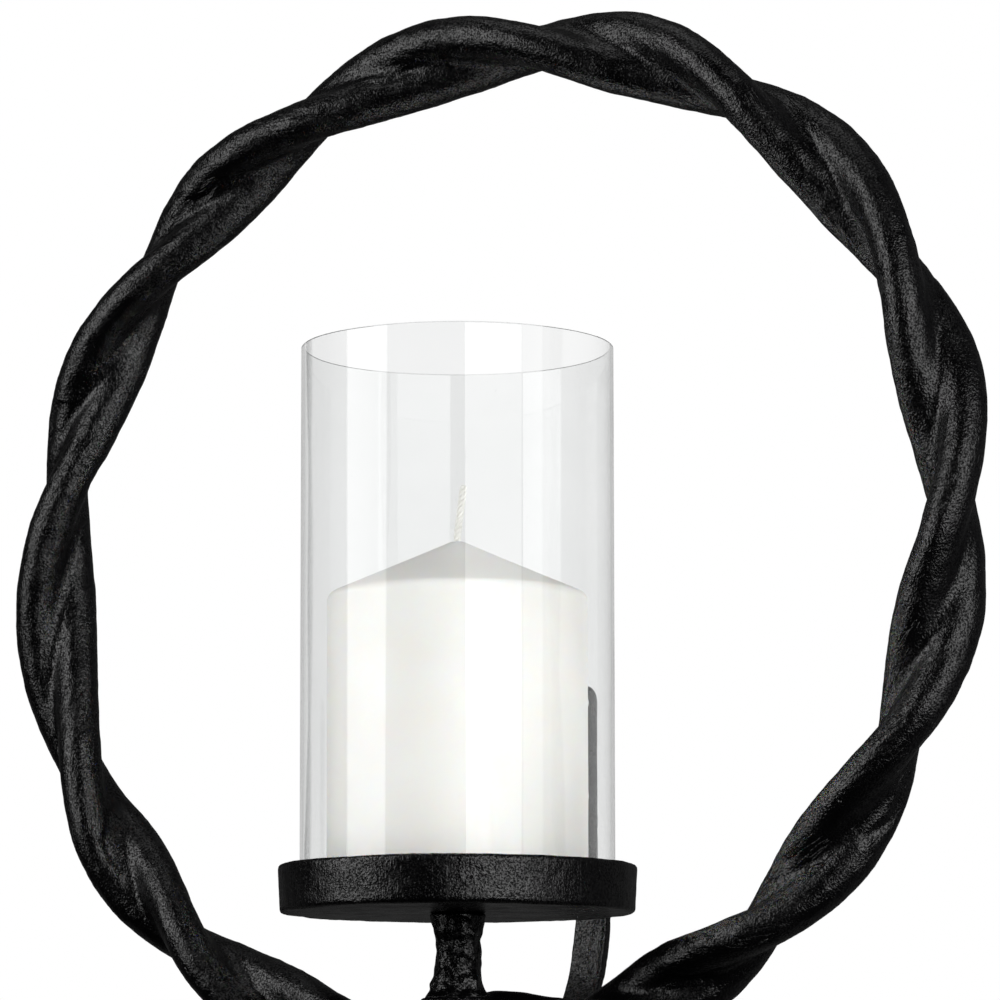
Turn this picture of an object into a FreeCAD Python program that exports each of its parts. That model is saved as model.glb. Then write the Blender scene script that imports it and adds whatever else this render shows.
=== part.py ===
import FreeCAD, Part
import math
import os
from FreeCAD import Vector

# Wall sconce candle holder, in millimetres.
# Origin: the upper wall screw hole, on the bracket's back face. The wall is the plane Y = 0 and
# the room is at -Y. +X is to the right for somebody who faces the wall, and +Z is up.

# Wall bracket: a flat bar that hangs on the wall, bends forward and carries everything else.
bar_width = 12.0
bar_thickness = 5.0
bend_radius = 60.0             # centre line of the quarter bend
wall_hole_diameter = 5.0
wall_hole_spacing = 30.0
bar_edge_round = 1.2

# Tray, stem and the boss of the ring share one upright axis.
tray_reach = 95.5              # wall to that axis
tray_drop = 72.5               # upper wall hole down to the tray's underside
tray_height = 15.0
tray_floor_thickness = 4.0
tray_wall = 4.0
tray_gap = 3.0                 # between the glass and the tray's wall
tray_taper = 0.8               # the foot of the wall is this much narrower
tray_edge_round = 1.4
tray_floor_round = 1.6

stem_length = 25.0
stem_waist_radius = 6.9
stem_head_radius = 8.6
stem_foot_radius = 9.2

# Ring: a flat bar twisted along a circle, with a boss under the stem.
ring_radius = 155.0            # to the middle of the bar
ring_oval = 3.4                # the hand-bent ring is this much longer on its long axis
ring_oval_axis = 46.0          # degrees clockwise from the top
ring_flat = 4.5                # the ring is flattened where the boss is
ring_flat_at = 179.0
ring_flat_spread = 18.0
ring_side_offset = 3.9
ring_setback = 9.0             # the ring's plane lies behind the tray's axis
ring_bar_half_width = 13.7     # centre of the bar to the crest of a ridge
ring_bar_half_web = 5.6        # centre of the bar to the bottom of a groove
# Directions, in degrees clockwise from the top, where one ridge points straight at the room.
ridge_forward_at = [6, 34, 65, 92, 119, 145, 167, 193, 219, 241, 275, 305, 332]
boss_height = 23.0
boss_radius = 11.5
boss_waist_radius = 13.5
seat_clearance = 0.4
join_tolerance = 0.01          # how closely the boss and the bar have to meet to grow together

# Fasteners
stem_bolt_diameter = 5.0
stem_bolt_depth = 10.0         # thread inside the stem
stem_bolt_head_radius = 4.6
stem_bolt_head_height = 3.2
stem_bolt_hex = 3.0            # across flats
washer_radius = 5.4
washer_thickness = 1.0
tray_screw_diameter = 5.0
tray_screw_depth = 8.0
tray_screw_head_radius = 4.6
tray_screw_sunk = 0.3          # head below the tray's floor
tray_screw_hex = 3.0
shank_clearance = 0.25         # around a shank that passes through a plain hole

# Candle
candle_radius = 40.0
candle_shoulder_height = 93.5
candle_cone_height = 16.5
candle_shoulder_round = 2.0
wick_radius = 1.15
wick_length = 18.5             # free length above the wax
wick_lean = 8.0                # degrees
wick_fit = 0.05
sustainer_radius = 9.0
sustainer_thickness = 0.6
sustainer_neck_radius = 2.6
sustainer_neck_height = 5.0

# Glass, around the candle
glass_gap = 7.0                # between the candle and the glass
glass_wall = 1.0
glass_chamfer = 0.25
glass_height = 170.0

# Sizes, heights and places that follow from the sizes above
glass_radius = candle_radius + glass_gap + glass_wall
dish_radius = glass_radius + tray_gap
tray_radius = dish_radius + tray_wall
axis_y = -tray_reach
tray_under_z = -tray_drop
tray_floor_z = tray_under_z + tray_floor_thickness
boss_top_z = tray_under_z - stem_length
boss_mid_z = boss_top_z - boss_height / 2
boss_under_z = boss_top_z - boss_height
foot_mid_z = boss_under_z - bar_thickness / 2
foot_under_z = boss_under_z - bar_thickness
ring_plane_y = axis_y + ring_setback
bar_mid_y = -bar_thickness / 2
bend_start_z = foot_mid_z + bend_radius
hub = Vector(0, axis_y, 0)
up = Vector(0, 0, 1)


def at(radius, z):
    # A point this far to the right of the hub axis.
    return Vector(radius, axis_y, z)


def cylinder(radius, bottom_z, top_z):
    return Part.makeCylinder(radius, top_z - bottom_z, at(0, bottom_z), up)


def cone(bottom_radius, top_radius, bottom_z, top_z):
    return Part.makeCone(bottom_radius, top_radius, top_z - bottom_z, at(0, bottom_z), up)


def hexagon(across_flats, bottom_z, top_z):
    # Six-sided socket on the hub axis.
    reach = across_flats / math.sqrt(3)
    corners = []
    for corner in range(7):
        turn = math.radians(60 * corner)
        corners.append(Vector(reach * math.cos(turn), axis_y + reach * math.sin(turn), bottom_z))
    return Part.Face(Part.makePolygon(corners)).extrude(Vector(0, 0, top_z - bottom_z))


def turned(edges):
    # Solid of revolution about the hub axis. The edges lie at X >= 0 in the plane Y = axis_y.
    profile = Part.Face(Part.Wire(edges))
    return profile.revolve(hub, up, 360)


def line(start, end):
    return Part.LineSegment(start, end).toShape()


def level_edges(shape, z):
    # Edges that lie wholly at this height.
    found = []
    for edge in shape.Edges:
        box = edge.BoundBox
        if abs(box.ZMin - z) < 0.01 and abs(box.ZMax - z) < 0.01:
            found.append(edge)
    return found


def save(name, shape):
    if len(shape.Solids) == 1:
        shape = shape.Solids[0]
    assert shape.isValid(), name
    shape.exportStep("parts/" + name + ".step")
    box = shape.optimalBoundingBox()
    print("%-16s %9.0f mm3  X %.1f..%.1f  Y %.1f..%.1f  Z %.1f..%.1f" % (
        name, shape.Volume, box.XMin, box.XMax, box.YMin, box.YMax, box.ZMin, box.ZMax))


# Ring -------------------------------------------------------------------------------------

def centre_radius(angle):
    # Middle of the bar, from the ring's centre, at an angle clockwise from the top.
    oval = ring_oval * math.cos(math.radians(2 * (angle - ring_oval_axis)))
    flat = ring_flat * math.exp(-((angle - ring_flat_at) / ring_flat_spread) ** 2)
    return ring_radius + oval - flat


ring_centre_z = boss_mid_z + centre_radius(180)


def straight_twist(angle):
    # Half a turn of the bar from each ridge_forward_at direction to the next.
    count = len(ridge_forward_at)
    laps = math.floor((angle - ridge_forward_at[0]) / 360)
    local = angle - 360 * laps
    stations = ridge_forward_at + [ridge_forward_at[0] + 360]
    index = max(i for i in range(count) if stations[i] <= local)
    share = (local - stations[index]) / (stations[index + 1] - stations[index])
    return 90 + 180 * (count * laps + index + share)


def twist(angle):
    # Averaged over a short stretch, so the ridges have no kinks.
    samples = [straight_twist(angle + offset) for offset in (-9, -6, -3, 0, 3, 6, 9)]
    return sum(samples) / len(samples)


def bar_reach(direction):
    # Two round ridges joined by a thinner web.
    crest = ring_bar_half_width * math.cos(math.radians(direction))
    groove = ring_bar_half_web * math.sin(math.radians(direction))
    return math.hypot(crest, groove)


def ring_point(angle, direction):
    # direction turns from straight outward (0) to straight into the room (90).
    reach = bar_reach(direction - twist(angle))
    outward = centre_radius(angle) + reach * math.cos(math.radians(direction))
    forward = reach * math.sin(math.radians(direction))
    x = ring_side_offset + outward * math.sin(math.radians(angle))
    z = ring_centre_z + outward * math.cos(math.radians(angle))
    return Vector(x, ring_plane_y - forward, z)


def twisted_bar():
    # One smooth closed surface, cut into patches of a quarter of the section each.
    steps_per_patch = 12
    patches_along = len(ridge_forward_at)
    along = steps_per_patch * patches_along
    around = 24
    quarter = around // 4
    poles = []
    for i in range(along):
        angle = 360 * i / along
        poles.append([ring_point(angle, 360 * j / around) for j in range(around)])
    surface = Part.BSplineSurface()
    surface.buildFromPolesMultsKnots(
        poles, [1] * (along + 1), [1] * (around + 1),
        list(range(along + 1)), list(range(around + 1)), True, True, 3, 3)
    patches = []
    for i in range(patches_along):
        for j in range(4):
            patch = surface.copy()
            patch.segment(steps_per_patch * i, steps_per_patch * (i + 1), quarter * j, quarter * (j + 1))
            patches.append(patch.toShape())
    shell = Part.Shell(patches)
    shell.sewShape()
    solid = Part.Solid(shell)
    if solid.Volume < 0:
        solid.reverse()
    return solid


def boss():
    # Barrel between the bracket's foot and the stem.
    side = Part.Arc(at(boss_radius, boss_under_z), at(boss_waist_radius, boss_mid_z),
                    at(boss_radius, boss_top_z)).toShape()
    return turned([
        line(at(0, boss_under_z), at(boss_radius, boss_under_z)), side,
        line(at(boss_radius, boss_top_z), at(0, boss_top_z)),
        line(at(0, boss_top_z), at(0, boss_under_z))])


def ring():
    body = twisted_bar().fuse([boss()], join_tolerance)
    stem_seat = cylinder(stem_foot_radius + seat_clearance, boss_top_z, tray_under_z)
    slot_half = bar_width / 2 + seat_clearance
    slot_front = axis_y - slot_half
    foot_slot = Part.makeBox(
        2 * slot_half, -slot_front, boss_height,
        Vector(-slot_half, slot_front, boss_under_z - boss_height))
    hole = cylinder(stem_bolt_diameter / 2 + shank_clearance, foot_under_z, boss_top_z + 1)
    return body.cut(stem_seat).cut(foot_slot).cut(hole)


# Stem -------------------------------------------------------------------------------------

def stem():
    waist_z = boss_top_z + 0.55 * stem_length
    side = Part.Arc(at(stem_foot_radius, boss_top_z), at(stem_waist_radius, waist_z),
                    at(stem_head_radius, tray_under_z)).toShape()
    body = turned([
        line(at(0, boss_top_z), at(stem_foot_radius, boss_top_z)), side,
        line(at(stem_head_radius, tray_under_z), at(0, tray_under_z)),
        line(at(0, tray_under_z), at(0, boss_top_z))])
    lower_thread = cylinder(stem_bolt_diameter / 2, boss_top_z - 1, boss_top_z + stem_bolt_depth)
    upper_thread = cylinder(tray_screw_diameter / 2, tray_under_z - tray_screw_depth, tray_under_z + 1)
    return body.cut(lower_thread).cut(upper_thread)


# Wall bracket -----------------------------------------------------------------------------

def wall_bracket():
    half = bar_width / 2
    wall_part = Part.makeBox(
        bar_width, bar_thickness, -bend_start_z, Vector(-half, -bar_thickness, bend_start_z))
    wall_end = Part.makeCylinder(half, bar_thickness, Vector(0, 0, 0), Vector(0, -1, 0))
    bend_axis = Vector(0, bar_mid_y - bend_radius, bend_start_z)
    strip = Part.makePlane(
        bar_width, bar_thickness, Vector(-half, -bar_thickness, bend_start_z), up)
    bend = strip.revolve(bend_axis, Vector(-1, 0, 0), 90)
    foot_start_y = bend_axis.y
    foot_part = Part.makeBox(
        bar_width, foot_start_y - axis_y, bar_thickness, Vector(-half, axis_y, foot_under_z))
    foot_end = cylinder(half, foot_under_z, boss_under_z)
    bar = wall_part.fuse([wall_end, bend, foot_part, foot_end]).removeSplitter()
    bar = bar.makeFillet(bar_edge_round, bar.Edges)
    for drop in (0, wall_hole_spacing):
        bar = bar.cut(Part.makeCylinder(
            wall_hole_diameter / 2, bar_thickness + 2, Vector(0, 1, -drop), Vector(0, -1, 0)))
    return bar.cut(cylinder(
        stem_bolt_diameter / 2 + shank_clearance, foot_under_z - 1, boss_under_z + 1))


# Tray -------------------------------------------------------------------------------------

def tray():
    top_z = tray_under_z + tray_height
    body = cone(tray_radius - tray_taper, tray_radius, tray_under_z, top_z)
    dish = cylinder(dish_radius, tray_floor_z, top_z + 1)
    dish = dish.makeFillet(tray_floor_round, level_edges(dish, tray_floor_z))
    body = body.cut(dish)
    body = body.makeFillet(
        tray_edge_round, level_edges(body, top_z) + level_edges(body, tray_under_z))
    head_top_z = tray_floor_z - tray_screw_sunk
    head_bottom_z = head_top_z - (tray_screw_head_radius - tray_screw_diameter / 2)
    body = body.cut(cylinder(tray_screw_head_radius, head_top_z, tray_floor_z + 1))
    body = body.cut(cone(tray_screw_diameter / 2, tray_screw_head_radius, head_bottom_z, head_top_z))
    return body.cut(cylinder(
        tray_screw_diameter / 2 + shank_clearance, tray_under_z - 1, head_bottom_z + 0.5))


# Fasteners --------------------------------------------------------------------------------

def tray_screw():
    head_top_z = tray_floor_z - tray_screw_sunk
    head_bottom_z = head_top_z - (tray_screw_head_radius - tray_screw_diameter / 2)
    head = cone(tray_screw_diameter / 2, tray_screw_head_radius, head_bottom_z, head_top_z)
    shank = cylinder(tray_screw_diameter / 2, tray_under_z - tray_screw_depth, head_bottom_z)
    socket = hexagon(tray_screw_hex, head_top_z - 1.8, head_top_z + 1)
    return head.fuse(shank).removeSplitter().cut(socket)


def bolt_washer():
    top_z = foot_under_z
    ring_plate = cylinder(washer_radius, top_z - washer_thickness, top_z)
    return ring_plate.cut(cylinder(
        stem_bolt_diameter / 2 + shank_clearance, top_z - washer_thickness - 1, top_z + 1))


def stem_bolt():
    head_top_z = foot_under_z - washer_thickness
    head_under_z = head_top_z - stem_bolt_head_height
    head = cylinder(stem_bolt_head_radius, head_under_z, head_top_z)
    head = head.makeFillet(1.2, level_edges(head, head_under_z))
    shank = cylinder(stem_bolt_diameter / 2, head_top_z, boss_top_z + stem_bolt_depth)
    socket = hexagon(stem_bolt_hex, head_under_z - 1, head_under_z + 2)
    return head.fuse(shank).removeSplitter().cut(socket)


# Glass ------------------------------------------------------------------------------------

def glass_cylinder():
    # Open tube, cut square at both ends, with its sharp edges ground off.
    outer = glass_radius
    inner = glass_radius - glass_wall
    foot_z = tray_floor_z
    top_z = tray_floor_z + glass_height
    ground = glass_chamfer
    corners = [
        at(outer, foot_z + ground), at(outer, top_z - ground),
        at(outer - ground, top_z), at(inner + ground, top_z),
        at(inner, top_z - ground), at(inner, foot_z + ground),
        at(inner + ground, foot_z), at(outer - ground, foot_z)]
    return turned([line(corners[i - 1], corners[i]) for i in range(len(corners))])


# Candle -----------------------------------------------------------------------------------

shoulder_z = tray_floor_z + candle_shoulder_height
candle_tip_z = shoulder_z + candle_cone_height
tip_radius = wick_radius + wick_fit + 1.0


def candle():
    body = cylinder(candle_radius, tray_floor_z, shoulder_z)
    body = body.fuse(cone(candle_radius, tip_radius, shoulder_z, candle_tip_z)).removeSplitter()
    body = body.makeFillet(candle_shoulder_round, level_edges(body, shoulder_z))
    body = body.cut(cylinder(wick_radius + wick_fit, tray_floor_z - 1, candle_tip_z + 1))
    body = body.cut(cylinder(
        sustainer_radius + wick_fit, tray_floor_z - 1, tray_floor_z + sustainer_thickness + wick_fit))
    return body.cut(cylinder(
        sustainer_neck_radius + wick_fit, tray_floor_z, tray_floor_z + sustainer_neck_height + wick_fit))


def wick():
    # Straight through the wax, then leaning a little to the right.
    lean = math.radians(wick_lean)
    start = Vector(0, axis_y, tray_floor_z + sustainer_thickness)
    bend = Vector(0, axis_y, candle_tip_z + 2)
    tip = bend + Vector(math.sin(lean), 0, math.cos(lean)) * (wick_length - 2)
    straight = Part.makeCylinder(wick_radius, bend.z - start.z, start, up)
    joint = Part.makeSphere(wick_radius, bend)
    leaning = Part.makeCylinder(wick_radius, wick_length - 2, bend, tip - bend)
    return straight.fuse([joint, leaning])


def wick_sustainer():
    # Tin disc under the wax, with a neck that grips the wick.
    disc = cylinder(sustainer_radius, tray_floor_z, tray_floor_z + sustainer_thickness)
    neck = cylinder(sustainer_neck_radius, tray_floor_z, tray_floor_z + sustainer_neck_height)
    grip = cylinder(
        wick_radius, tray_floor_z + sustainer_thickness, tray_floor_z + sustainer_neck_height + 1)
    return disc.fuse(neck).removeSplitter().cut(grip)


os.makedirs("parts", exist_ok=True)
save("ring", ring())
save("stem", stem())
save("wall_bracket", wall_bracket())
save("tray", tray())
save("tray_screw", tray_screw())
save("stem_bolt", stem_bolt())
save("bolt_washer", bolt_washer())
save("glass_cylinder", glass_cylinder())
save("candle", candle())
save("wick", wick())
save("wick_sustainer", wick_sustainer())
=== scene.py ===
import math
import random
import bpy
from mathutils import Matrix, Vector


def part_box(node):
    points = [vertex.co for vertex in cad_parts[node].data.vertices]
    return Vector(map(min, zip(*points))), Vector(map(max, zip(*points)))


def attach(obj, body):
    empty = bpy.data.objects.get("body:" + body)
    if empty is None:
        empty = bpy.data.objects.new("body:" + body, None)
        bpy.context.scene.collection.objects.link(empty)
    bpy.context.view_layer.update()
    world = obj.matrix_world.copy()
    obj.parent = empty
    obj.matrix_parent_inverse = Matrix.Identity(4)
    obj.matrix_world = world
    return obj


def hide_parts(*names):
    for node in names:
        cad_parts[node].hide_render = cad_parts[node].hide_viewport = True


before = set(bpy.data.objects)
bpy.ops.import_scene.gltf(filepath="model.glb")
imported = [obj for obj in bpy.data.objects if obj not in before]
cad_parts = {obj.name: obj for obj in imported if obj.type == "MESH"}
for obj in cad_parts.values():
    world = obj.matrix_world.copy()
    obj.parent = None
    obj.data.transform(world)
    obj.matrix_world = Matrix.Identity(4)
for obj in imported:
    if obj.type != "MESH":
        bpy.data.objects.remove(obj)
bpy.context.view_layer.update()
trayLow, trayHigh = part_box("tray")
stemLow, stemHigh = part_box("stem")
glassLow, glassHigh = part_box("glass_cylinder")
candleLow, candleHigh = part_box("candle")
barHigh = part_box("wall_bracket")[1]
wickLow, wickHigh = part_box("wick")
axisY = (trayLow.y + trayHigh.y) / 2       # stem, tray, glass and candle share this upright axis
hub = Vector((0, axisY, 0))
samePoint = 0.000001                       # points of an outline closer than this are one
bpy.context.scene.view_settings.view_transform = "Standard"
print("frame loaded, tray axis at y", round(axisY, 4))


# small helpers

def deselectAll():
    if bpy.context.object and bpy.context.object.mode != "OBJECT":
        bpy.ops.object.mode_set(mode="OBJECT")
    bpy.ops.object.select_all(action="DESELECT")


def activate(piece):
    deselectAll()
    piece.select_set(True)
    bpy.context.view_layer.objects.active = piece
    return piece


def added(name):
    # the primitive that was just added, under its own name
    piece = bpy.context.object
    piece.name = name
    piece.data.name = name
    return piece


def applyPlace(piece):
    activate(piece)
    bpy.ops.object.transform_apply(location=True, rotation=True, scale=True)


def applyModifier(piece, kind, **settings):
    activate(piece)
    modifier = piece.modifiers.new(kind.title(), kind)
    for key, value in settings.items():
        setattr(modifier, key, value)
    bpy.ops.object.modifier_apply(modifier=modifier.name)


def cleanMesh(piece, distance):
    # doubles merged first, then normals turned outward
    activate(piece)
    bpy.ops.object.mode_set(mode="EDIT")
    bpy.ops.mesh.select_all(action="SELECT")
    bpy.ops.mesh.remove_doubles(threshold=distance)
    bpy.ops.mesh.normals_make_consistent(inside=False)
    bpy.ops.object.mode_set(mode="OBJECT")


def shadeSmooth(piece, degrees=None):
    activate(piece)
    if degrees is None:
        bpy.ops.object.shade_smooth()
    else:
        bpy.ops.object.shade_smooth_by_angle(angle=math.radians(degrees))


def lumps(piece, layers):
    # uneven surface as real geometry, from (size, height, detail, grey level that stays in place) layers
    for size, height, detail, middle in layers:
        texture = bpy.data.textures.new(piece.name + "Lumps", "CLOUDS")
        texture.noise_scale = size
        texture.noise_depth = detail
        applyModifier(piece, "DISPLACE", texture=texture, texture_coords="LOCAL",
                      strength=height, mid_level=middle)


def arcPoints(start, middle, end, count):
    # points of the circle through three (distance from the axis, height) pairs
    (ax, ay), (bx, by), (cx, cy) = start, middle, end
    a = ax * ax + ay * ay
    b = bx * bx + by * by
    c = cx * cx + cy * cy
    d = 2 * (ax * (by - cy) + bx * (cy - ay) + cx * (ay - by))
    centreX = (a * (by - cy) + b * (cy - ay) + c * (ay - by)) / d
    centreY = (a * (cx - bx) + b * (ax - cx) + c * (bx - ax)) / d
    radius = math.hypot(ax - centreX, ay - centreY)
    turns = [math.atan2(y - centreY, x - centreX) for x, y in (start, middle, end)]
    swing = math.remainder(turns[1] - turns[0], 2 * math.pi)
    swing += math.remainder(turns[2] - turns[1], 2 * math.pi)
    return [(centreX + radius * math.cos(turns[0] + swing * i / count),
             centreY + radius * math.sin(turns[0] + swing * i / count)) for i in range(count + 1)]


def makeTurned(name, profile, segments):
    # (distance from the axis, height) points drawn one by one, then spun round the tray's axis
    deselectAll()
    bpy.ops.mesh.primitive_plane_add(size=0.001, location=hub)
    piece = added(name)
    applyPlace(piece)
    bpy.ops.object.mode_set(mode="EDIT")
    bpy.ops.mesh.select_all(action="SELECT")
    bpy.ops.mesh.merge(type="CENTER")
    bpy.ops.transform.translate(value=(profile[0][0], 0, profile[0][1]))
    for (fromR, fromZ), (toR, toZ) in zip(profile, profile[1:]):
        bpy.ops.mesh.extrude_region_move(TRANSFORM_OT_translate={"value": (toR - fromR, 0, toZ - fromZ)})
    bpy.ops.mesh.select_all(action="SELECT")
    bpy.ops.mesh.remove_doubles(threshold=samePoint)
    bpy.ops.mesh.select_all(action="SELECT")
    bpy.ops.mesh.spin(steps=segments, angle=2 * math.pi, center=hub, axis=(0, 0, 1))
    bpy.ops.object.mode_set(mode="OBJECT")
    cleanMesh(piece, 2 * samePoint)
    return piece


def cutAway(piece, cutter):
    applyModifier(piece, "BOOLEAN", object=cutter, operation="DIFFERENCE", solver="EXACT")
    bpy.data.objects.remove(cutter)


def castCopy(node, name, grain):
    # a copy of the machined shape, its facets evened out so that it can take a rough skin
    piece = bpy.data.objects.new(name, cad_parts[node].data.copy())
    bpy.context.scene.collection.objects.link(piece)
    piece.data.name = name
    cleanMesh(piece, samePoint)
    applyModifier(piece, "REMESH", mode="VOXEL", voxel_size=grain)
    return piece


# camera: a little lower than the ring and to its right, looking slightly up
cameraView = {
    "height": -0.1586,        # below the upper wall hole
    "distance": 1.4763,       # from the tray's axis, measured along the view
    "side": -0.0019,          # the view's middle passes this far to the right of the axis
    "yaw": 28.08,             # degrees
    "pitch": 6.33,            # degrees upward
    "lift": 0.16,             # shift upward, as a share of the picture
    "slip": 0.0488,           # and to the right
    "pictureScale": 4.861,    # focal length over picture width
    "sensor": 36,
    "clip": (0.05, 50),
}


def makeCamera():
    yaw = math.radians(cameraView["yaw"])
    toRight = Vector((math.cos(yaw), math.sin(yaw), 0))
    toBack = Vector((-math.sin(yaw), math.cos(yaw), 0))
    place = hub + toRight * cameraView["side"] - toBack * cameraView["distance"]
    place.z = cameraView["height"]
    bpy.ops.object.camera_add(location=place)
    camera = added("sconceCamera")
    camera.rotation_euler = (math.radians(90 + cameraView["pitch"]), 0, yaw)
    camera.data.sensor_width = cameraView["sensor"]
    camera.data.lens = cameraView["sensor"] * cameraView["pictureScale"]
    camera.data.shift_x = cameraView["slip"]
    camera.data.shift_y = cameraView["lift"]
    camera.data.clip_start, camera.data.clip_end = cameraView["clip"]
    bpy.context.scene.camera = camera


makeCamera()
print("camera placed")


# ring: one twisted bar bent to a circle, with a boss under the stem
ringShape = {
    "radius": 0.155,          # to the middle of the bar
    "oval": 0.0034,           # longer by this along the oval's axis
    "ovalAxis": 46,           # degrees clockwise from the top, as are all angles round the ring
    "flat": 0.0045,           # pressed in by this at the boss
    "flatAt": 179,
    "flatSpread": 18,
    "sideOffset": 0.0039,     # centre to the right of the tray's axis
    "setback": 0.009,         # and behind it
    "crest": 0.0137,          # centre of the bar to the crest of a ridge
    "groove": 0.0056,         # centre of the bar to the bottom of a groove
    # where one ridge points straight at the room
    "ridgeForwardAt": [6, 34, 65, 92, 119, 145, 167, 193, 219, 241, 275, 305, 332],
    "softenOver": (-9, -6, -3, 0, 3, 6, 9),    # degrees the twist is averaged over
    "steps": 26,              # along each half turn
    "sectionPoints": 48,
    "bossRadius": 0.0115,
    "bossWaist": 0.0135,
    "bossHeight": 0.023,
    "bossSteps": 14,
    "bossSegments": 72,
    "boltHole": 0.00275,
    "boltSegments": 48,
    "fit": 0.0004,            # room round the stem's and the bracket's foot
    "seamMerge": 0.0003,
    "grain": 0.00095,         # size of the casting's mesh
    "lumps": [(0.016, 0.0009, 1, 0.9), (0.0052, 0.0004, 2, 0.9)],
}


def turnGap(first, second):
    return (first - second + 180) % 360 - 180


def barRadius(angle):
    oval = ringShape["oval"] * math.cos(math.radians(2 * (angle - ringShape["ovalAxis"])))
    away = turnGap(angle, ringShape["flatAt"])
    flat = ringShape["flat"] * math.exp(-(away / ringShape["flatSpread"]) ** 2)
    return ringShape["radius"] + oval - flat


def straightTwist(angle):
    stations = ringShape["ridgeForwardAt"]
    laps = math.floor((angle - stations[0]) / 360)
    local = angle - 360 * laps
    ends = stations + [stations[0] + 360]
    index = max(i for i in range(len(stations)) if ends[i] <= local)
    share = (local - ends[index]) / (ends[index + 1] - ends[index])
    return 90 + 180 * (len(stations) * laps + index + share)


def twistAt(angle):
    # averaged over a short stretch, so the ridges have no kinks
    samples = [straightTwist(angle + offset) for offset in ringShape["softenOver"]]
    return sum(samples) / len(samples)


bossTop = stemLow.z
bossMiddle = bossTop - ringShape["bossHeight"] / 2
ringCentre = Vector((ringShape["sideOffset"], axisY + ringShape["setback"], bossMiddle + barRadius(180)))


def makeSection():
    # the bar's own outline: two round ridges joined by a thinner web
    bpy.ops.curve.primitive_nurbs_circle_add(radius=ringShape["crest"])
    section = added("barSection")
    section.data.dimensions = "2D"
    section.data.splines.clear()
    outline = section.data.splines.new("POLY")
    count = ringShape["sectionPoints"]
    outline.points.add(count - 1)
    for i, point in enumerate(outline.points):
        turn = 2 * math.pi * i / count
        reach = math.hypot(ringShape["crest"] * math.cos(turn), ringShape["groove"] * math.sin(turn))
        point.co = (reach * math.cos(turn), reach * math.sin(turn), 0, 1)
    outline.use_cyclic_u = True
    return section


def makeTwistedBar(section):
    bpy.ops.curve.primitive_nurbs_path_add()
    bar = added("ringCasting")
    bar.data.dimensions = "3D"
    bar.data.twist_mode = "Z_UP"
    bar.data.splines.clear()
    path = bar.data.splines.new("POLY")
    count = ringShape["steps"] * len(ringShape["ridgeForwardAt"])
    path.points.add(count)
    for i, point in enumerate(path.points):
        angle = 360 * i / count
        turn = math.radians(angle)
        reach = barRadius(angle)
        point.co = (reach * math.sin(turn), reach * math.cos(turn), 0, 1)
        point.tilt = math.radians(twistAt(angle))
    bar.data.bevel_mode = "OBJECT"
    bar.data.bevel_object = section
    activate(bar)
    bpy.ops.object.convert(target="MESH")
    bar = bpy.context.object
    bpy.data.objects.remove(section)
    bar.rotation_euler = (math.radians(90), 0, 0)     # stood up, face to the room
    bar.location = ringCentre
    applyPlace(bar)
    cleanMesh(bar, ringShape["seamMerge"])
    return bar


def makeRing():
    bar = makeTwistedBar(makeSection())
    half = ringShape["bossHeight"] / 2
    barrel = [(0, bossMiddle - half)]
    barrel += arcPoints((ringShape["bossRadius"], bossMiddle - half), (ringShape["bossWaist"], bossMiddle),
                        (ringShape["bossRadius"], bossMiddle + half), ringShape["bossSteps"])
    barrel += [(0, bossMiddle + half)]
    boss = makeTurned("boss", barrel, ringShape["bossSegments"])
    activate(bar)
    boss.select_set(True)
    bpy.ops.object.join()
    ring = bpy.context.object
    applyModifier(ring, "REMESH", mode="VOXEL", voxel_size=ringShape["grain"])

    # room for the stem's foot, the bracket's foot and the bolt
    fit = ringShape["fit"]
    deselectAll()
    bpy.ops.mesh.primitive_cylinder_add(
        vertices=ringShape["bossSegments"], radius=stemHigh.x + fit, depth=trayLow.z - bossTop,
        location=(0, axisY, (trayLow.z + bossTop) / 2))
    cutAway(ring, added("stemSeat"))
    slotHalf = barHigh.x + fit
    deselectAll()
    bpy.ops.mesh.primitive_cube_add(size=1, location=(
        0, (axisY - slotHalf) / 2, bossTop - 1.5 * ringShape["bossHeight"]))
    slot = added("footSlot")
    slot.scale = (2 * slotHalf, slotHalf - axisY, ringShape["bossHeight"])
    applyPlace(slot)
    cutAway(ring, slot)
    deselectAll()
    bpy.ops.mesh.primitive_cylinder_add(
        vertices=ringShape["boltSegments"], radius=ringShape["boltHole"], depth=2 * ringShape["bossHeight"],
        location=(0, axisY, bossMiddle))
    cutAway(ring, added("boltHole"))
    applyModifier(ring, "REMESH", mode="VOXEL", voxel_size=ringShape["grain"])
    return ring


def measureRing(ring):
    # for each point: degrees round the ring, degrees round the bar from a ridge, distance from the bar's middle
    turnSteps = 4
    twists = [twistAt(i / turnSteps - 180) for i in range(360 * turnSteps + 1)]
    places = []
    for vertex in ring.data.vertices:
        across = vertex.co.x - ringCentre.x
        upward = vertex.co.z - ringCentre.z
        forward = ringCentre.y - vertex.co.y
        angle = math.degrees(math.atan2(across, upward))      # the seam is under the boss
        outward = math.hypot(across, upward) - barRadius(angle)
        direction = math.degrees(math.atan2(forward, outward))
        twist = twists[int((angle + 180) * turnSteps)]
        places.append((angle, (direction - twist) % 360, math.hypot(outward, forward)))
    return places


def storeBarPlace(ring, places):
    # place of each point on the bar as it was before it was twisted and bent, for the materials
    place = ring.data.attributes.new("barPlace", "FLOAT_VECTOR", "POINT")
    values = []
    for angle, phase, reach in places:
        values += [math.radians(angle) * ringShape["radius"],
                   reach * math.cos(math.radians(phase)), reach * math.sin(math.radians(phase))]
    place.data.foreach_set("vector", values)


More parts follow.
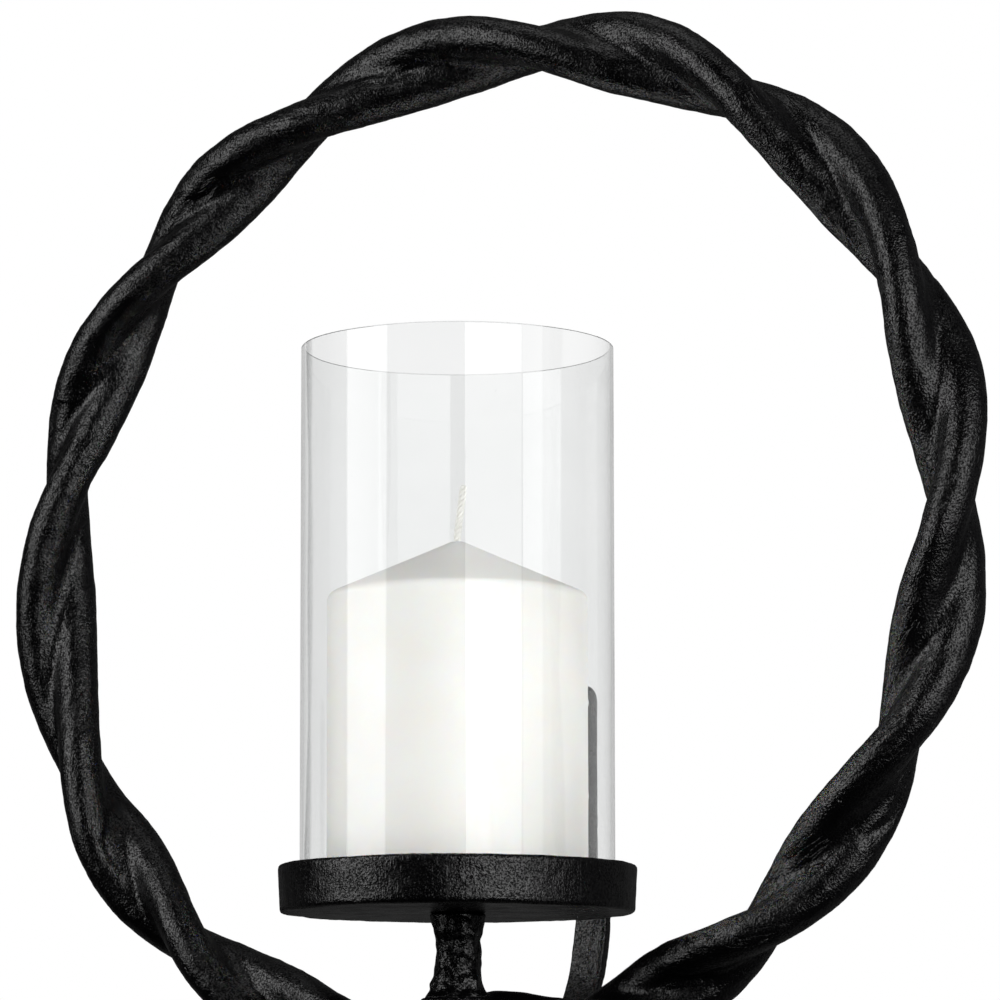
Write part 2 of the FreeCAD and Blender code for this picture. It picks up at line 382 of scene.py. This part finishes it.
def weigh(piece, name, weights):
    # vertex group from a list of one weight for each point
    group = piece.vertex_groups.new(name=name)
    for index, weight in enumerate(weights):
        if weight > 0.001:
            group.add([index], weight, "REPLACE")
    return name


# soft cold folds of the casting, most of them in the webs between the ridges
ringFolds = {
    "seed": 7,
    "count": 34,
    "halfLength": (2.0, 6.5),     # degrees round the ring
    "spread": 45,                 # degrees round the bar, to either side of the web's middle
    "slope": 4.0,
    "wander": 6,                  # degrees to either side of a straight fold
    "waves": 60,                  # degrees of the wave for each degree round the ring
    "width": (5, 11),
    "fadeWidths": 3,
    "depth": (0.3, 1.0),
    "deepest": 0.0011,
}


def foldWeights(places):
    random.seed(ringFolds["seed"])
    weights = [0.0] * len(places)
    for i in range(ringFolds["count"]):
        middle = 360 * (i + random.uniform(0.1, 0.9)) / ringFolds["count"]
        half = random.uniform(*ringFolds["halfLength"])
        side = random.choice((90, 270)) + random.uniform(-ringFolds["spread"], ringFolds["spread"])
        slope = random.uniform(-ringFolds["slope"], ringFolds["slope"])
        width = random.uniform(*ringFolds["width"])
        depth = random.uniform(*ringFolds["depth"])
        wave = random.uniform(0, 360)
        for index, (angle, phase, _) in enumerate(places):
            along = turnGap(angle, middle)
            if abs(along) > half:
                continue
            bend = ringFolds["wander"] * math.sin(math.radians(along * ringFolds["waves"] + wave))
            away = abs(turnGap(phase, side + slope * along + bend))
            if away < ringFolds["fadeWidths"] * width:
                share = math.exp(-(away / width) ** 2) * math.cos(math.radians(90 * along / half)) ** 0.5
                weights[index] = max(weights[index], depth * share)
    return weights


ring = makeRing()
ringPlaces = measureRing(ring)
applyModifier(ring, "DISPLACE", vertex_group=weigh(ring, "folds", foldWeights(ringPlaces)),
              strength=-ringFolds["deepest"], mid_level=0)
lumps(ring, ringShape["lumps"])
storeBarPlace(ring, ringPlaces)
shadeSmooth(ring)
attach(ring, "holder")
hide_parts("ring")
print("ring made,", len(ring.data.polygons), "faces")


# stem: a rough cast neck between the boss and the tray
stemShape = {
    "waist": 0.0069,
    "waistShare": 0.55,       # of the height, from the boss
    "head": 0.0086,
    "skirt": 0.0009,          # run of metal at the foot
    "steps": 24,
    "segments": 64,
    "grain": 0.00045,
    "lumps": [(0.0052, 0.0022, 1, 0.5), (0.0024, 0.0003, 1, 0.5)],
}


def makeStem():
    waistZ = stemLow.z + stemShape["waistShare"] * (stemHigh.z - stemLow.z)
    side = arcPoints((stemHigh.x, stemLow.z), (stemShape["waist"], waistZ),
                     (stemShape["head"], stemHigh.z), stemShape["steps"])
    skirt = stemShape["skirt"]
    side = [(stemHigh.x + skirt, stemLow.z - skirt)] + side[2:]
    outline = [(0, stemLow.z - skirt)] + side + [(0, stemHigh.z)]
    neck = makeTurned("stemCasting", outline, stemShape["segments"])
    applyModifier(neck, "REMESH", mode="VOXEL", voxel_size=stemShape["grain"])
    return neck


stem = makeStem()
lumps(stem, stemShape["lumps"])
shadeSmooth(stem)
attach(stem, "holder")
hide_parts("stem")
print("stem made")


# wall bracket and tray: the machined shapes with the skin of a casting
castSkin = {
    "barGrain": 0.0006,
    "barLumps": [(0.012, 0.0005, 1, 0.9), (0.003, 0.0002, 1, 0.9)],
    "trayGrain": 0.00075,
    "trayLumps": [(0.018, 0.0004, 1, 0.9), (0.004, 0.00022, 1, 0.9)],
}

bracket = castCopy("wall_bracket", "bracketCasting", castSkin["barGrain"])
lumps(bracket, castSkin["barLumps"])
shadeSmooth(bracket)
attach(bracket, "holder")
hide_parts("wall_bracket")

tray = castCopy("tray", "trayCasting", castSkin["trayGrain"])
lumps(tray, castSkin["trayLumps"])
shadeSmooth(tray)
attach(tray, "holder")
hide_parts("tray")
print("bracket and tray made")


# glass chimney: an open tube, cut square at both ends
glassShape = {
    "wall": 0.001,
    "ground": 0.0002,         # sharp edges taken off
    "segments": 240,
    "steps": 12,
    "sharpOver": 30,          # degrees
}


def makeGlass():
    outer = glassHigh.x
    inner = outer - glassShape["wall"]
    ground = glassShape["ground"]
    low = glassLow.z + ground
    high = glassHigh.z - ground
    heights = [low + (high - low) * i / glassShape["steps"] for i in range(glassShape["steps"] + 1)]
    rim = [(outer - ground, glassHigh.z), (inner + ground, glassHigh.z)]
    foot = [(inner + ground, glassLow.z), (outer - ground, glassLow.z)]
    outline = [(outer, z) for z in heights] + rim + [(inner, z) for z in reversed(heights)] + foot
    return makeTurned("glassChimney", outline + outline[:1], glassShape["segments"])


glass = makeGlass()
shadeSmooth(glass, glassShape["sharpOver"])
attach(glass, "glass")
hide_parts("glass_cylinder")
print("glass made")


# candle: a pillar with a low cone on top, and the hole for the wick
candleShape = {
    "shoulderHeight": 0.0935,
    "shoulderRound": 0.002,
    "shoulderMiddle": (0.22, 0.25),      # of shoulderRound: in from the side, down from the shoulder
    "shoulderEnd": 1.1,                  # of shoulderRound: down from the shoulder
    "footRound": 0.0012,
    "wickHole": 0.0012,
    "tipRadius": 0.0022,
    "sustainerRoom": (0.00905, 0.00065),     # radius and height
    "neckRoom": (0.00265, 0.00505),
    "coneSteps": 14,
    "shoulderSteps": 8,
    "sideSteps": 24,
    "segments": 160,
    "sharpOver": 40,          # degrees
    "lumps": [(0.03, 0.00035, 1, 0.95)],
}


def makeCandle():
    radius = candleHigh.x
    foot = candleLow.z
    shoulder = foot + candleShape["shoulderHeight"]
    soft = candleShape["shoulderRound"]
    hole = candleShape["wickHole"]
    tip = candleShape["tipRadius"]
    discR, discH = candleShape["sustainerRoom"]
    neckR, neckH = candleShape["neckRoom"]
    slope = (candleHigh.z - shoulder) / (radius - tip)

    def coneHeight(reach):
        return shoulder + (radius - reach) * slope

    coneSteps = candleShape["coneSteps"]
    coneRun = [tip + (radius - soft - tip) * i / coneSteps for i in range(1, coneSteps + 1)]
    outline = [(hole, coneHeight(tip)), (tip, coneHeight(tip))]
    outline += [(reach, coneHeight(reach)) for reach in coneRun]
    inward, downward = candleShape["shoulderMiddle"]
    sideHigh = shoulder - candleShape["shoulderEnd"] * soft
    outline += arcPoints((radius - soft, coneHeight(radius - soft)),
                         (radius - inward * soft, shoulder - downward * soft),
                         (radius, sideHigh), candleShape["shoulderSteps"])[1:]
    sideLow = foot + candleShape["footRound"]
    sideSteps = candleShape["sideSteps"]
    outline += [(radius, sideHigh + (sideLow - sideHigh) * i / sideSteps) for i in range(1, sideSteps + 1)]
    outline += [(radius - candleShape["footRound"], foot), (discR, foot), (discR, foot + discH),
                (neckR, foot + discH), (neckR, foot + neckH), (hole, foot + neckH), (hole, coneHeight(tip))]
    return makeTurned("waxPillar", outline, candleShape["segments"])


candle = makeCandle()
lumps(candle, candleShape["lumps"])
shadeSmooth(candle, candleShape["sharpOver"])
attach(candle, "candle_body")
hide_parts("candle")
print("candle made")


# wick: three waxed strands plaited round each other, leaning a little
wickShape = {
    "strands": 3,
    "strandRadius": 0.00062,
    "plaitRadius": 0.00057,
    "pitch": 0.0052,
    "lean": 8,                # degrees
    "bendAbove": 0.002,       # the wick stands straight this far above the wax
    "lowGap": 0.0008,         # short of the CAD wick's ends by these
    "topGap": 0.0012,
    "tip": 0.45,              # thickness of the tip, as a share of the strand
    "tipLength": 0.0016,
    "stepLength": 0.0003,
    "roundness": 3,
}


def makeWick():
    lean = math.radians(wickShape["lean"])
    bendZ = candleHigh.z + wickShape["bendAbove"]
    low = wickLow.z + wickShape["lowGap"]
    high = wickHigh.z - wickShape["topGap"]
    count = round((high - low) / wickShape["stepLength"])
    strands = []
    for strand in range(wickShape["strands"]):
        bpy.ops.curve.primitive_nurbs_path_add()
        thread = added("wickStrand")
        thread.data.dimensions = "3D"
        thread.data.splines.clear()
        path = thread.data.splines.new("POLY")
        path.points.add(count)
        for i, point in enumerate(path.points):
            z = low + (high - low) * i / count
            turn = 2 * math.pi * ((z - low) / wickShape["pitch"] + strand / wickShape["strands"])
            leanX = max(0, z - bendZ) * math.tan(lean)
            point.co = (leanX + wickShape["plaitRadius"] * math.cos(turn),
                        axisY + wickShape["plaitRadius"] * math.sin(turn), z, 1)
            point.radius = min(1, wickShape["tip"] + (high - z) / wickShape["tipLength"])
        thread.data.bevel_depth = wickShape["strandRadius"]
        thread.data.bevel_resolution = wickShape["roundness"]
        thread.data.use_fill_caps = True
        activate(thread)
        bpy.ops.object.convert(target="MESH")
        strands.append(bpy.context.object)
    activate(strands[0])
    for thread in strands[1:]:
        thread.select_set(True)
    bpy.ops.object.join()
    braid = added("wickBraid")
    applyPlace(braid)
    cleanMesh(braid, samePoint)
    return braid


wick = makeWick()
shadeSmooth(wick)
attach(wick, "candle_body")
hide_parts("wick")
print("wick made")


# materials

def addNode(owner, kind, inputs=None, **settings):
    # owner: the material or the world
    node = owner.node_tree.nodes.new(kind)
    for key, value in settings.items():
        setattr(node, key, value)
    for key, value in (inputs or {}).items():
        node.inputs[key].default_value = value
    return node


def join(owner, source, target):
    owner.node_tree.links.new(source, target)


def newMaterial(name, **constants):
    material = bpy.data.materials.new(name)
    material.use_nodes = True
    shader = material.node_tree.nodes["Principled BSDF"]
    for key, value in constants.items():
        shader.inputs[key.replace("_", " ")].default_value = value
    place = addNode(material, "ShaderNodeTexCoord")
    return material, shader, place.outputs["Object"]


def noiseOf(material, place, scale, detail=3.0, rough=0.5):
    noise = addNode(material, "ShaderNodeTexNoise", {"Scale": scale, "Detail": detail, "Roughness": rough})
    join(material, place, noise.inputs["Vector"])
    return noise.outputs["Fac"]


def rangeOf(owner, value, fromRange, toRange, kind="LINEAR"):
    remap = addNode(owner, "ShaderNodeMapRange", {
        "From Min": fromRange[0], "From Max": fromRange[1],
        "To Min": toRange[0], "To Max": toRange[1]}, interpolation_type=kind)
    join(owner, value, remap.inputs["Value"])
    return remap.outputs["Result"]


def rampOf(material, value, stops):
    ramp = addNode(material, "ShaderNodeValToRGB")
    elements = ramp.color_ramp.elements
    while len(elements) < len(stops):
        elements.new(0.5)
    for element, (place, colour) in zip(elements, stops):
        element.position = place
        element.color = (*colour, 1)
    join(material, value, ramp.inputs["Fac"])
    return ramp.outputs["Color"]


def mathOf(owner, operation, first, second=0):
    node = addNode(owner, "ShaderNodeMath", operation=operation)
    for socket, value in zip(node.inputs, (first, second)):
        if isinstance(value, (int, float)):
            socket.default_value = value
        else:
            join(owner, value, socket)
    return node.outputs["Value"]


def bumpOf(material, height, distance, strength=1.0, under=None):
    bump = addNode(material, "ShaderNodeBump", {"Strength": strength, "Distance": distance})
    join(material, height, bump.inputs["Height"])
    if under:
        join(material, under, bump.inputs["Normal"])
    return bump.outputs["Normal"]


def cellsOf(material, place, scale):
    # distance from the nearest of many scattered points
    cells = addNode(material, "ShaderNodeTexVoronoi", {"Scale": scale, "Randomness": 1.0})
    join(material, place, cells.inputs["Vector"])
    return cells.outputs["Distance"]


def stretched(material, place, scale):
    mapping = addNode(material, "ShaderNodeMapping", {"Scale": scale})
    join(material, place, mapping.inputs["Vector"])
    return mapping.outputs["Vector"]


blackCoat = {
    "tones": [(0.3, (0.0010, 0.0010, 0.0012)), (0.75, (0.0028, 0.0027, 0.003))],
    "toneScale": 38,                  # features to the metre, as are all scales
    "patchScale": 95,
    "patches": (0.35, 0.65),
    "rough": (0.19, 0.33),
    "sandScale": 1700,
    "sand": (0.38, 0.62),
    "specularWithHollowShade": (0.12, 1.0),             # specular level: lowered in the hollows between the grains as painted shade, full on the grains
    "sandHeight": 0.0002,
    "clumpScale": 330,
    "clumpHeight": 0.00022,
    "pitScale": 260,
    "pit": (0.06, 0.2),
    "pitHeight": 0.0003,
    "pittedScale": 60,
    "pitted": (0.58, 0.68),
    "alongStretch": (0.16, 1, 1),
    "streakScale": 230,
    "streakHeight": 0.0005,
    "streakStrength": 0.9,
    "shutScale": 150,
    "shut": (0.0, 0.012),
    "shutHeight": 0.0006,
    "shutPlacesScale": 40,
    "shutPlaces": (0.56, 0.62),
    "strokeStretch": (1, 1, 0.12),
    "strokeScale": 700,
    "strokeHeight": 0.00035,
}


def makeBlackCoat(name, sand=1.0, alongBar=False, brushed=0.0):
    # satin powder coat over the sandy skin of a casting
    look = blackCoat
    material, shader, place = newMaterial(name)
    broad = noiseOf(material, place, look["toneScale"], detail=4, rough=0.6)
    join(material, rampOf(material, broad, look["tones"]), shader.inputs["Base Color"])
    patches = noiseOf(material, place, look["patchScale"], detail=5, rough=0.62)
    join(material, rangeOf(material, patches, look["patches"], look["rough"]), shader.inputs["Roughness"])
    grains = noiseOf(material, place, look["sandScale"], detail=1)
    # specular level follows the sand grains, lower in their hollows: painted shade
    join(material, rangeOf(material, grains, look["sand"], look["specularWithHollowShade"]), shader.inputs["Specular IOR Level"])
    clumps = noiseOf(material, place, look["clumpScale"], detail=3, rough=0.55)
    normal = bumpOf(material, clumps, look["clumpHeight"], sand)
    normal = bumpOf(material, grains, look["sandHeight"], sand, normal)
    # small pits where the sand broke away
    pits = rangeOf(material, cellsOf(material, place, look["pitScale"]), look["pit"], (1, 0), "SMOOTHSTEP")
    pitted = rangeOf(material, noiseOf(material, place, look["pittedScale"], detail=2), look["pitted"], (0, 1))
    pits = mathOf(material, "MULTIPLY", pits, pitted)
    normal = bumpOf(material, mathOf(material, "MULTIPLY", pits, -1), look["pitHeight"], 1.0, normal)
    if alongBar:
        # long low streaks that follow the twist
        barPlace = addNode(material, "ShaderNodeAttribute", attribute_name="barPlace").outputs["Vector"]
        along = stretched(material, barPlace, look["alongStretch"])
        streaks = noiseOf(material, along, look["streakScale"], detail=2)
        normal = bumpOf(material, streaks, look["streakHeight"], look["streakStrength"], normal)
        # and a few hair-thin cold shuts among them
        wander = noiseOf(material, along, look["shutScale"], detail=3, rough=0.55)
        line = mathOf(material, "ABSOLUTE", mathOf(material, "SUBTRACT", wander, 0.5))
        thin = rangeOf(material, line, look["shut"], (1, 0), "SMOOTHSTEP")
        places = noiseOf(material, place, look["shutPlacesScale"], detail=2)
        broken = rangeOf(material, places, look["shutPlaces"], (0, 1))
        shut = mathOf(material, "MULTIPLY", mathOf(material, "MULTIPLY", thin, broken), -1)
        normal = bumpOf(material, shut, look["shutHeight"], 1.0, normal)
    if brushed:
        # fine upright strokes left in the coat
        upright = stretched(material, place, look["strokeStretch"])
        strokes = noiseOf(material, upright, look["strokeScale"], detail=3, rough=0.6)
        normal = bumpOf(material, strokes, look["strokeHeight"], brushed, normal)
    join(material, normal, shader.inputs["Normal"])
    return material


blackOxide = {
    "tones": [(0.3, (0.018, 0.018, 0.02)), (0.7, (0.05, 0.048, 0.046))],
    "toneScale": 240,
    "patches": (0.3, 0.7),
    "rough": (0.5, 0.3),
    "grainScale": 2600,
    "grainHeight": 0.00003,
}

tinPlate = {
    "tones": [(0.35, (0.52, 0.52, 0.51)), (0.65, (0.66, 0.66, 0.64))],
    "toneScale": 520,
    "patches": (0.3, 0.7),
    "rough": (0.28, 0.42),
    "grainScale": 3000,
    "grainHeight": 0.00002,
}


def makeBareMetal(name, look, detail, rough):
    material, shader, place = newMaterial(name, Metallic=1.0)
    tone = noiseOf(material, place, look["toneScale"], detail, rough)
    join(material, rampOf(material, tone, look["tones"]), shader.inputs["Base Color"])
    join(material, rangeOf(material, tone, look["patches"], look["rough"]), shader.inputs["Roughness"])
    grain = noiseOf(material, place, look["grainScale"], detail=2)
    join(material, bumpOf(material, grain, look["grainHeight"]), shader.inputs["Normal"])
    return material


clearGlass = {
    "index": 1.47,
    "tones": [(0.35, (0.962, 0.966, 0.965)), (0.72, (0.935, 0.942, 0.94))],
    "smearScale": 26,
    "smears": (0.45, 0.75),
    "rough": (0.0, 0.003),            # so low that it still mirrors as sharp glass
    "dustScale": 150,
    "dust": (0.02, 0.06),
    "dustyScale": 70,
    "dusty": (0.52, 0.58),
    "dustTone": (0.7, 0.71, 0.71, 1),
    "waveScale": 22,
    "waveHeight": 0.0002,
    "waveStrength": 0.35,
    "shadowTone": (0.97, 0.975, 0.972, 1),
}


def makeClearGlass():
    look = clearGlass
    material, shader, place = newMaterial("clearGlass", IOR=look["index"], Transmission_Weight=1.0)
    smears = noiseOf(material, place, look["smearScale"], detail=3)
    dust = rangeOf(material, cellsOf(material, place, look["dustScale"]), look["dust"], (1, 0), "SMOOTHSTEP")
    dusty = rangeOf(material, noiseOf(material, place, look["dustyScale"], detail=1), look["dusty"], (0, 1))
    # the mix node has a set of sockets for each data type: 0 is the factor, 6 and 7 the colours, 2 the result
    tint = addNode(material, "ShaderNodeMix", {7: look["dustTone"]}, data_type="RGBA")
    join(material, mathOf(material, "MULTIPLY", dust, dusty), tint.inputs[0])
    join(material, rampOf(material, smears, look["tones"]), tint.inputs[6])
    join(material, tint.outputs[2], shader.inputs["Base Color"])
    join(material, rangeOf(material, smears, look["smears"], look["rough"]), shader.inputs["Roughness"])
    waves = noiseOf(material, place, look["waveScale"], detail=1, rough=0.4)
    join(material, bumpOf(material, waves, look["waveHeight"], look["waveStrength"]), shader.inputs["Normal"])
    # shadow rays pass, so the lamps light the candle inside
    clear = addNode(material, "ShaderNodeBsdfTransparent", {"Color": look["shadowTone"]})
    rays = addNode(material, "ShaderNodeLightPath")
    blend = addNode(material, "ShaderNodeMixShader")
    join(material, rays.outputs["Is Shadow Ray"], blend.inputs["Fac"])
    join(material, shader.outputs["BSDF"], blend.inputs[1])
    join(material, clear.outputs["BSDF"], blend.inputs[2])
    join(material, blend.outputs["Shader"], material.node_tree.nodes["Material Output"].inputs["Surface"])
    return material


ivoryWax = {
    "index": 1.44,
    "glow": 0.5,
    "glowReach": (0.006, 0.0045, 0.003),
    "tones": [(0.3, (0.90, 0.885, 0.85)), (0.7, (0.945, 0.935, 0.91))],
    "toneScale": 45,
    "patches": (0.3, 0.7),
    "rough": (0.34, 0.48),
    "mottleScale": 210,
    "mottleHeight": 0.00012,
    "mottleStrength": 0.5,
}


def makeIvoryWax():
    look = ivoryWax
    material, shader, place = newMaterial(
        "ivoryWax", Subsurface_Weight=look["glow"], Subsurface_Radius=look["glowReach"],
        Subsurface_Scale=1.0, IOR=look["index"])
    cloud = noiseOf(material, place, look["toneScale"], detail=4, rough=0.55)
    join(material, rampOf(material, cloud, look["tones"]), shader.inputs["Base Color"])
    join(material, rangeOf(material, cloud, look["patches"], look["rough"]), shader.inputs["Roughness"])
    mottle = noiseOf(material, place, look["mottleScale"], detail=3)
    normal = bumpOf(material, mottle, look["mottleHeight"], look["mottleStrength"])
    join(material, normal, shader.inputs["Normal"])
    return material


wickCotton = {
    "glow": 0.4,
    "glowReach": (0.001, 0.001, 0.001),
    "tones": [(0.3, (0.84, 0.82, 0.76)), (0.7, (0.95, 0.94, 0.90))],
    "toneScale": 900,
    "patches": (0.3, 0.7),
    "rough": (0.5, 0.75),
    "fuzzScale": 4200,
    "fuzzHeight": 0.00008,
}


def makeWickCotton():
    look = wickCotton
    material, shader, place = newMaterial(
        "wickCotton", Subsurface_Weight=look["glow"], Subsurface_Radius=look["glowReach"], Subsurface_Scale=1.0)
    tone = noiseOf(material, place, look["toneScale"], detail=3, rough=0.6)
    join(material, rampOf(material, tone, look["tones"]), shader.inputs["Base Color"])
    join(material, rangeOf(material, tone, look["patches"], look["rough"]), shader.inputs["Roughness"])
    fuzz = noiseOf(material, place, look["fuzzScale"], detail=2)
    join(material, bumpOf(material, fuzz, look["fuzzHeight"]), shader.inputs["Normal"])
    return material


def wear(piece, material):
    piece.data.materials.clear()
    piece.data.materials.append(material)


wear(ring, makeBlackCoat("ringCoat", alongBar=True))
wear(stem, makeBlackCoat("stemCoat"))
wear(bracket, makeBlackCoat("bracketCoat", sand=0.8))
wear(tray, makeBlackCoat("trayCoat", sand=0.8, brushed=0.5))
wear(glass, makeClearGlass())
wear(candle, makeIvoryWax())
wear(wick, makeWickCotton())
screwSteel = makeBareMetal("blackOxide", blackOxide, detail=4, rough=0.6)
for name in ("tray_screw", "stem_bolt", "bolt_washer"):
    wear(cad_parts[name], screwSteel)
wear(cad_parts["wick_sustainer"], makeBareMetal("tinPlate", tinPlate, detail=3, rough=0.5))
print("materials on")


# studio: pale floor, white surroundings, softboxes in front and at the sides
studio = {
    "floorGlow": 0.8,
    "floorTone": (0.3, 0.3, 0.3, 1),
    "floorRough": 0.75,
    "floorZ": -0.2,
    "floorSize": 12,
    "roomFade": (-0.2, 0.5),   # from the room side to the wall side
    "roomLight": (0.002, 0.07),    # what glossy and matt surfaces see there
    "glassRoom": 10,           # how many times more of it sharp glass sees
}

# name: degrees to the right of the wall's normal, height, distance,
# width and height of the box, power, whether it shows in mirrored and transmitted rays
lamps = {
    "leftBox": (-42, 0.4, 1.3, 0.85, 1.3, 7.0, True),
    "rightStrip": (84, 0.15, 1.25, 0.35, 1.3, 1.2, True),
    "rightBox": (54.5, 0.3, 1.7, 1.3, 1.4, 10.2, True),
    "frontFill": (8, 0.8, 1.6, 0.6, 0.6, 6.5, False),
    "sideFill": (98, 0.2, 1.6, 0.6, 0.6, 23, False),
    "leftFill": (-78, 0.3, 1.6, 0.6, 0.6, 7, False),
}

topBox = {
    "place": (-0.1, -0.15, 1.5),    # from the tray's axis
    "width": 1.0,
    "tall": 0.8,
    "power": 1.6,
}


def makeFloor():
    bpy.ops.mesh.primitive_plane_add(size=studio["floorSize"], location=(0, 0, studio["floorZ"]))
    floor = added("studioFloor")
    applyPlace(floor)
    # pale all over, also where the lamps don't reach, and without any part in the lighting
    pale = newMaterial("paleFloor", Roughness=studio["floorRough"], Base_Color=studio["floorTone"],
                       Emission_Color=(1, 1, 1, 1), Emission_Strength=studio["floorGlow"])[0]
    wear(floor, pale)
    floor.visible_diffuse = False
    floor.visible_glossy = False


def addBox(name, place, width, tall, power):
    bpy.ops.object.light_add(type="AREA", location=place)
    lamp = added(name)
    lamp.data.shape = "RECTANGLE"
    lamp.data.size = width
    lamp.data.size_y = tall
    lamp.data.energy = power
    return lamp


def makeLamps():
    for name, (turn, height, distance, width, tall, power, mirrored) in lamps.items():
        angle = math.radians(turn)
        place = hub + Vector((distance * math.sin(angle), -distance * math.cos(angle), height))
        lamp = addBox(name, place, width, tall, power)
        lamp.rotation_euler = (hub - place).to_track_quat("-Z", "Y").to_euler()
        lamp.visible_glossy = mirrored
        lamp.visible_transmission = mirrored
    addBox("topBox", hub + Vector(topBox["place"]), topBox["width"], topBox["tall"], topBox["power"])


def makeWorld():
    world = bpy.data.worlds.new("studioWorld")
    bpy.context.scene.world = world
    world.use_nodes = True
    white = world.node_tree.nodes["Background"]
    white.inputs["Color"].default_value = (1, 1, 1, 1)
    white.inputs["Strength"].default_value = 1.0
    rays = addNode(world, "ShaderNodeLightPath").outputs
    split = addNode(world, "ShaderNodeSeparateXYZ")
    join(world, addNode(world, "ShaderNodeTexCoord").outputs["Generated"], split.inputs["Vector"])
    fade = rangeOf(world, split.outputs["Y"], studio["roomFade"], studio["roomLight"], "SMOOTHSTEP")
    # the glass mirrors the pale side of the room more clearly than the rough metal does
    extra = mathOf(world, "MULTIPLY", rays["Is Singular Ray"], studio["glassRoom"])
    room = addNode(world, "ShaderNodeBackground")
    join(world, mathOf(world, "MULTIPLY", fade, mathOf(world, "ADD", extra, 1)), room.inputs["Strength"])
    # white where it is looked at straight or through the glass, never in a reflection
    straight = mathOf(world, "MAXIMUM", rays["Is Camera Ray"], rays["Is Transmission Ray"])
    bounces = mathOf(world, "ADD", rays["Glossy Depth"], rays["Diffuse Depth"])
    seen = mathOf(world, "MULTIPLY", straight, mathOf(world, "LESS_THAN", bounces, 0.5))
    blend = addNode(world, "ShaderNodeMixShader")
    join(world, seen, blend.inputs["Fac"])
    join(world, room.outputs["Background"], blend.inputs[1])
    join(world, white.outputs["Background"], blend.inputs[2])
    join(world, blend.outputs["Shader"], world.node_tree.nodes["World Output"].inputs["Surface"])


makeFloor()
makeLamps()
makeWorld()
print("studio lit")
